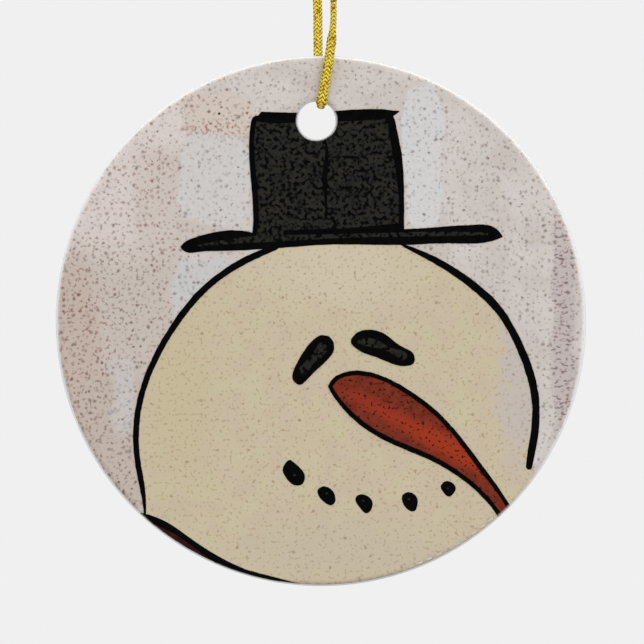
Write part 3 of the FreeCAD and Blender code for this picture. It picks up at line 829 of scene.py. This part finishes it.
def loop_shape(place):
    """The braid's width, thickness and flat side's turn along the loop. It is wide where it is pulled over
    the hole's edge, and squeezed in the hole and by the knot. Above the disc the front strand turns its
    narrow side to the front."""
    z = place.z / MM
    pulled = smooth_step(z, PIVOT_Z + 1.6, PIVOT_Z + 0.3)
    knotted = smooth_step(max(-z, z - KNOT_HEIGHT), 2.5, 0.0)
    inside = smooth_step(abs(place.y) / MM, 2.6, 2.1) * smooth_step(z, PIVOT_Z + 6.0, PIVOT_Z + 4.0)
    width = CORD_WIDTH * (1 + PULLED_WIDER * pulled * (1 - inside) - SQUEEZED * knotted - SQUEEZED * inside)
    if place.y < 0:
        turn = FRONT_TURN * smooth_step(z, PIVOT_Z + 7.5, PIVOT_Z + 11.7)
    else:
        turn = BACK_TURN * smooth_step(z, PIVOT_Z + 1.0, PIVOT_Z + 4.0)
    return width * MM, CORD_THICKNESS * MM, turn


# The knot, in millimetres. Cords that touch are KNOT_SPACING apart, and a strand's points within
# NEIGHBOUR_REACH along it aren't parted. KNOT_WALL is how far out they may lie, and each strand runs on for
# KNOT_REACH past the knot's two ends. What lies further out than KNOT_BODY counts as the knot's body, which
# is kept centred. The LOOSE values shape the curve that it starts from, and the last five are how strongly
# one round moves a point.
KNOT_SPACING = 1.05
NEIGHBOUR_REACH = 1.5 * KNOT_SPACING
KNOT_POINTS = 72
KNOT_ROUNDS = 300
KNOT_REACH = 1.5
KNOT_WALL = 2.4
KNOT_BODY = 1.1
STRAND_GAP = 1.2
LOOSE_END = 2.05
LOOSE_ACROSS = 1.6
LOOSE_FLATTENING = 2.6
END_SLACK = 0.2
TIGHTENING = 0.3
END_PULL = 0.3
PARTING = 0.8
WALL_PUSH = 0.15
CENTRING = 0.1


def respaced(line):
    """The same line through a fixed number of evenly spaced points."""
    lengths = np.linalg.norm(np.diff(line, axis=0), axis=1)
    along = np.concatenate([[0], np.cumsum(lengths)])
    even = np.linspace(0, along[-1], KNOT_POINTS)
    return np.stack([np.interp(even, along, line[:, axis]) for axis in range(3)], axis=1)


def loose_strand(side):
    """One of the two cords of a loose overhand knot, in millimetres. They lie side by side all the way."""
    middle = []
    for t in np.linspace(-LOOSE_END, LOOSE_END, 200):
        x, y, z = t ** 3 - 3 * t, t ** 4 - 4 * t ** 2 + 2, t ** 5 - 10 * t
        middle.append(Vector((LOOSE_ACROSS * x, LOOSE_ACROSS * y, z / LOOSE_FLATTENING + KNOT_HEIGHT / 2)))
    frames = carried_frames(middle, Vector((1, 0, 0)))
    line = [place + across * (side * STRAND_GAP / 2) for place, (_, across, _) in zip(middle, frames)]
    line.insert(0, (side * KNOT_X, 0, -KNOT_REACH))
    line.append((side * KNOT_X, 0, KNOT_HEIGHT + KNOT_REACH))
    return respaced(np.array(line))


def hold_ends(strand, side):
    """Keep a strand between its two ends, and draw it straight outside the knot's top and bottom."""
    strand[:, 2] = np.clip(strand[:, 2], -KNOT_REACH, KNOT_HEIGHT + KNOT_REACH)
    strand[0] = (side * KNOT_X, 0, -KNOT_REACH)
    strand[-1] = (side * KNOT_X, 0, KNOT_HEIGHT + KNOT_REACH)
    for ends in (strand[1:], strand[-2::-1]):
        for point in ends:
            past = abs(point[2] - KNOT_HEIGHT / 2) - KNOT_HEIGHT / 2 + END_SLACK
            if past < 0:
                break
            point[:2] += (np.array((side * KNOT_X, 0)) - point[:2]) * END_PULL


def tight_knot():
    """The two strands of the knot, pulled tight. Every round draws them in and parts cords that touch."""
    strands = [loose_strand(1), loose_strand(-1)]
    number = np.arange(2 * KNOT_POINTS)
    same_cord = number[:, None] // KNOT_POINTS == number[None] // KNOT_POINTS
    steps_apart = abs(number[:, None] - number[None])
    for round_number in range(KNOT_ROUNDS):
        for strand in strands:
            for _ in range(2):
                strand[1:-1] += TIGHTENING * (strand[:-2] + strand[2:] - 2 * strand[1:-1])
        step = np.mean([np.linalg.norm(np.diff(strand, axis=0), axis=1).mean() for strand in strands])
        neighbours = same_cord & (steps_apart * step < NEIGHBOUR_REACH)
        for _ in range(3):
            every = np.concatenate(strands)
            gaps = every[:, None] - every[None]
            distance = np.sqrt((gaps ** 2).sum(axis=2)) + 1e-9
            touching = (distance < KNOT_SPACING) & ~neighbours
            push = np.where(touching, (KNOT_SPACING - distance) / distance, 0)
            pushed = (gaps * push[:, :, None]).sum(axis=1)
            every += PARTING * pushed / np.maximum(1, touching.sum(axis=1))[:, None]
            out = np.maximum(np.hypot(every[:, 0], every[:, 1]), KNOT_WALL)
            every[:, :2] *= 1 - WALL_PUSH * (1 - KNOT_WALL / out[:, None])
            body = np.hypot(every[:, 0], every[:, 1]) > KNOT_BODY
            every[:, 2] += CENTRING * (KNOT_HEIGHT / 2 - every[body, 2].mean())
            strands = [every[:KNOT_POINTS], every[KNOT_POINTS:]]
            hold_ends(strands[0], 1)
            hold_ends(strands[1], -1)
        if round_number % 5 == 4:
            strands = [respaced(strand) for strand in strands]
    return strands


def knot_shape(place):
    """The braid's size inside the knot, where it is squeezed all the way."""
    return CORD_WIDTH * (1 - SQUEEZED) * MM, CORD_THICKNESS * MM, 0


def make_knot():
    """The doubled overhand knot, as two braided cords."""
    made = []
    for number, strand in enumerate(tight_knot()):
        inside = [Vector(place) * MM for place in strand]
        while inside[1].z < 0:
            inside.pop(0)
        while inside[-2].z > KNOT_HEIGHT * MM:
            inside.pop()
        inside[0].z = 0
        inside[-1].z = KNOT_HEIGHT * MM
        piece, _ = braid("cord_knot_strand_" + str(number + 1), inside, Vector((1, 0, 0)), knot_shape)
        made.append(piece)
    return made


def make_cord():
    """The loop, the knot and the two tails. The tails and the knot are attached to the hanger."""
    # The second material is painted shade, for the core and the yarns' flanks down in the weave.
    gold, core = gold_material(), core_and_flank_shade_material()
    line = smooth_line("loop_route", LOOP_ROUTE)
    loop, path = braid("cord_loop", line, Vector((1, 0, 0)), loop_shape)
    tails = []
    for name, route in (("cord_tail_right", TAIL_ROUTE), ("cord_tail_left", OTHER_TAIL_ROUTE)):
        tail, _ = braid(name, smooth_line(name, route), Vector((1, 0, 0)), loop_shape)
        tails.append(tail)
    knot = make_knot()
    for piece in (loop, *tails, *knot):
        piece.data.materials.append(gold)
        piece.data.materials.append(core)
    for tail in tails:
        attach(tail, "hanger")
        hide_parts("cord_tails")
    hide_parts("cord_strands")
    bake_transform(loop)
    for strand in knot:
        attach(strand, "hanger")
        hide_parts("cord_knot")


FLOOR_RADIUS = 3.0
FLOOR_Z = -0.9
FLOOR_GLOW = 0.36


def make_floor():
    """A plain pale floor, far below the hanging ornament. It glows, because the lights don't reach it, and it
    throws no light on the ornament."""
    work = bmesh.new()
    bmesh.ops.create_circle(work, cap_ends=True, segments=96, radius=FLOOR_RADIUS)
    mesh = bpy.data.meshes.new("floor")
    work.to_mesh(mesh)
    work.free()
    floor = bpy.data.objects.new("floor", mesh)
    floor.location = (0, 0, FLOOR_Z)
    bpy.context.scene.collection.objects.link(floor)
    paint = Paint("floor")
    place = paint.node("TexCoord").outputs["Object"]
    tone = paint.mix(paint.noise(place, 0.6), grey(232), grey(238))
    dress(floor, paint.finish(tone, 0.7, specular=0.2))
    paint.shader.inputs["Emission Color"].default_value = (1, 1, 1, 1)
    paint.shader.inputs["Emission Strength"].default_value = FLOOR_GLOW
    floor.visible_diffuse = False
    floor.visible_glossy = False


make_cord()
make_disc()
make_prints()
make_floor()
